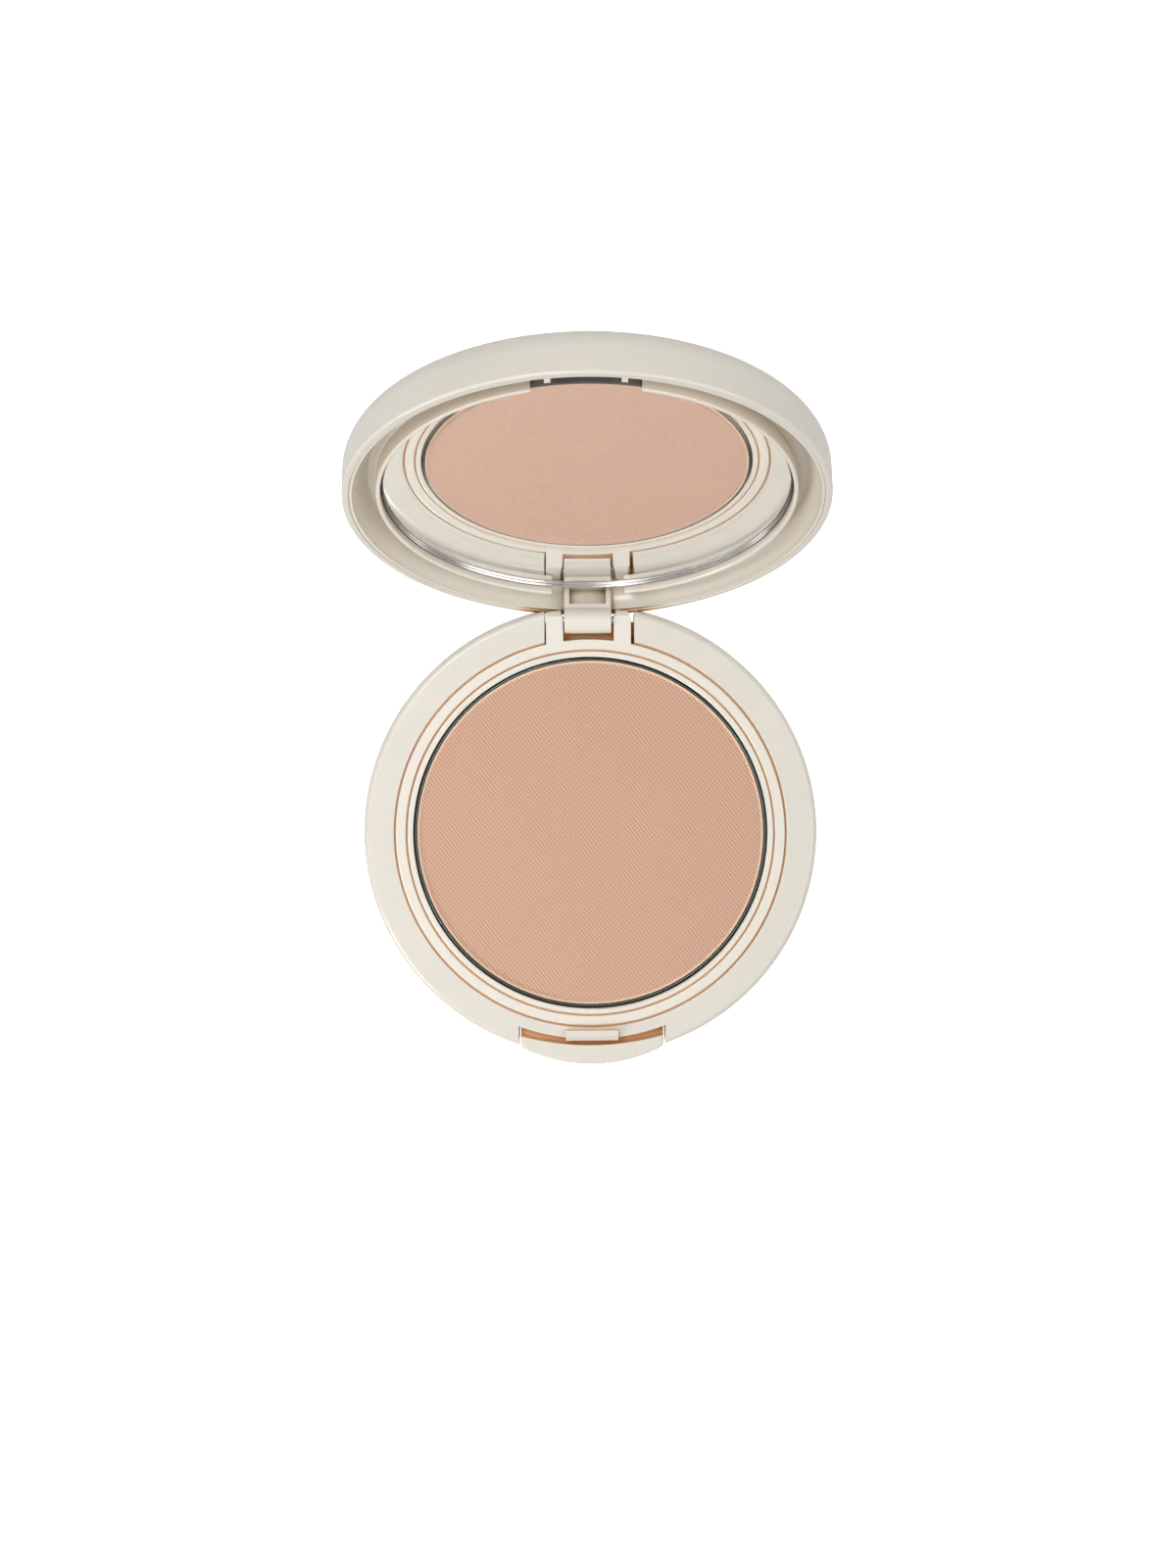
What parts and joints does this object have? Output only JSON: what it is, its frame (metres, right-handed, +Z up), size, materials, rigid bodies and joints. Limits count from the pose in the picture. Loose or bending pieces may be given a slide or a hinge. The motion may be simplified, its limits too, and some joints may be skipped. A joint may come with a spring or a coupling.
{
  "type": "powder compact",
  "caption": "Round pressed-powder compact standing open: hinged lid with a mirror, sprung front push button, and a removable cup holding a metal pan of powder.",
  "frame": {"origin": "centre of the flat underside of the base, on the base's own centre line", "axes": "+Z up, -Y towards the user and the push button, +Y towards the hinge, +X to the user's right; the lid stands open"},
  "size_m": [0.0756, 0.1175, 0.0708],
  "materials": {
    "ivory_rim": "satin",
    "ivory_inner": "satin",
    "pan_metal": "satin",
    "powder": "matte",
    "pin_steel": "satin",
    "mirror": "polished",
    "adhesive": "matte"
  },
  "bodies": {
    "base": {"base_outer_shell": "ivory_rim", "base_bottom_cover": "ivory_inner", "base_inner_frame": "ivory_inner", "refill_cup": "ivory_inner", "pan_adhesive": "adhesive", "powder_pan": "pan_metal", "pressed_powder": "powder", "hinge_pin": "pin_steel", "button_spring_left": "pin_steel", "button_spring_right": "pin_steel"},
    "lid": {"lid_outer_shell": "ivory_rim", "lid_liner": "ivory_inner", "mirror_glass": "mirror", "mirror_adhesive": "adhesive"},
    "button": {"push_button": "ivory_rim"}
  },
  "joints": [
    {"name": "lid_hinge", "type": "hinge", "parent": "base", "child": "lid", "pos_m": [0, 0.0355, 0.0079], "axis": [1, 0, 0], "range_deg": [0, 118.75]},
    {"name": "button_press", "type": "slide", "parent": "base", "child": "button", "axis": [0, 1, 0], "range_m": [0, 0.0006], "stiffness_N_per_m": 600, "springref_m": -0.001, "deforming": ["button_spring_left", "button_spring_right"]}
  ]
}
